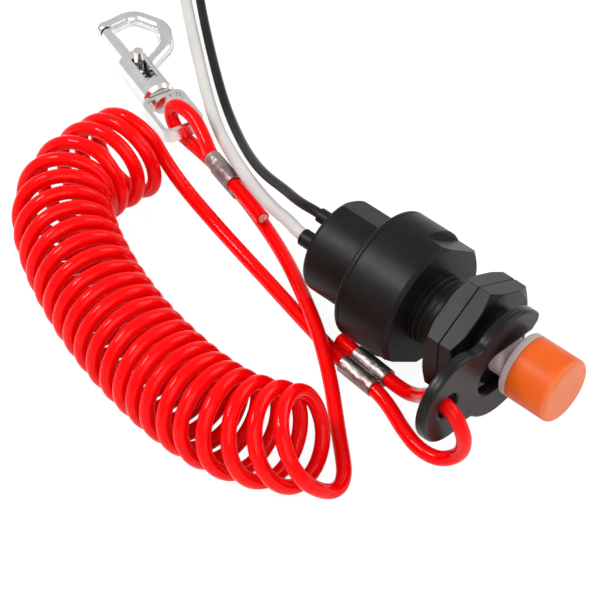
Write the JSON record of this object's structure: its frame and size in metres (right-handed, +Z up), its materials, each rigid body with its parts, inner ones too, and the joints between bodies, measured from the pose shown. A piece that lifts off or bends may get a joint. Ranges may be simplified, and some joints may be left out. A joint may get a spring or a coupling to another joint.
{
  "type": "engine kill switch with lanyard",
  "caption": "Panel-mounted engine stop push switch with jam nuts, a slide-on lock clip, a coiled lanyard with a snap hook, and wire leads.",
  "frame": {"origin": "on the switch's axis, where the panel meets the housing's flat front shoulder", "axes": "+X along the threaded shank towards the button, +Z up from the surface that the switch lies on"},
  "size_m": [0.2332, 0.1697, 0.0337],
  "materials": {
    "black_housing": "satin",
    "black_nut": "satin",
    "black_clip": "satin",
    "white_plunger": "satin",
    "orange_cap": "satin",
    "red_cord": "gloss",
    "white_sheath": "satin",
    "black_sheath": "satin",
    "ferrule_metal": "satin",
    "nickel": "polished",
    "spring_steel": "satin",
    "brass": "satin",
    "insulator": "matte",
    "seal_rubber": "matte"
  },
  "bodies": {
    "switch": {"housing": "black_housing", "rear_cover": "black_housing", "rear_nut": "black_nut", "front_nut": "black_nut", "stem_seal": "seal_rubber", "contact_carrier": "insulator", "contact_white": "brass", "contact_black": "brass", "return_spring": "spring_steel", "white_wire": "white_sheath", "black_wire": "black_sheath", "white_wire_coil": "white_sheath", "black_wire_coil": "black_sheath", "white_wire_end": "white_sheath", "black_wire_end": "black_sheath", "white_terminal": "brass", "black_terminal": "brass"},
    "button": {"plunger": "white_plunger", "button_cap": "orange_cap", "retaining_ring": "spring_steel", "contact_bridge": "brass"},
    "lanyard": {"lock_clip": "black_clip", "clip_ferrule": "ferrule_metal", "clip_loop": "red_cord", "lead_a": "red_cord", "lanyard_coil": "red_cord", "lead_b": "red_cord", "hook_ferrule": "ferrule_metal", "hook_loop": "red_cord", "hook_eye": "nickel"},
    "hook": {"hook_body": "nickel", "bolt_spring": "spring_steel"},
    "hook_bolt": {"hook_bolt": "nickel"}
  },
  "joints": [
    {"name": "button_press", "type": "slide", "parent": "switch", "child": "button", "axis": [1, 0, 0], "range_m": [-0.0015, 0], "stiffness_N_per_m": 1500, "springref_m": 0.002, "deforming": ["return_spring"]},
    {"name": "clip_pull", "type": "slide", "parent": "switch", "child": "lanyard", "axis": [0, -0.9871, 0.1599], "range_m": [0, 0.03]},
    {"name": "hook_swivel", "type": "hinge", "parent": "lanyard", "child": "hook", "pos_m": [-0.093, 0.0122, -0.01085], "axis": [-0.9537, 0.3007, 0], "continuous": true},
    {"name": "hook_gate", "type": "slide", "parent": "hook", "child": "hook_bolt", "axis": [-0.9537, 0.3007, 0], "range_m": [-0.006, 0], "stiffness_N_per_m": 300, "springref_m": 0.004, "deforming": ["bolt_spring"]}
  ]
}
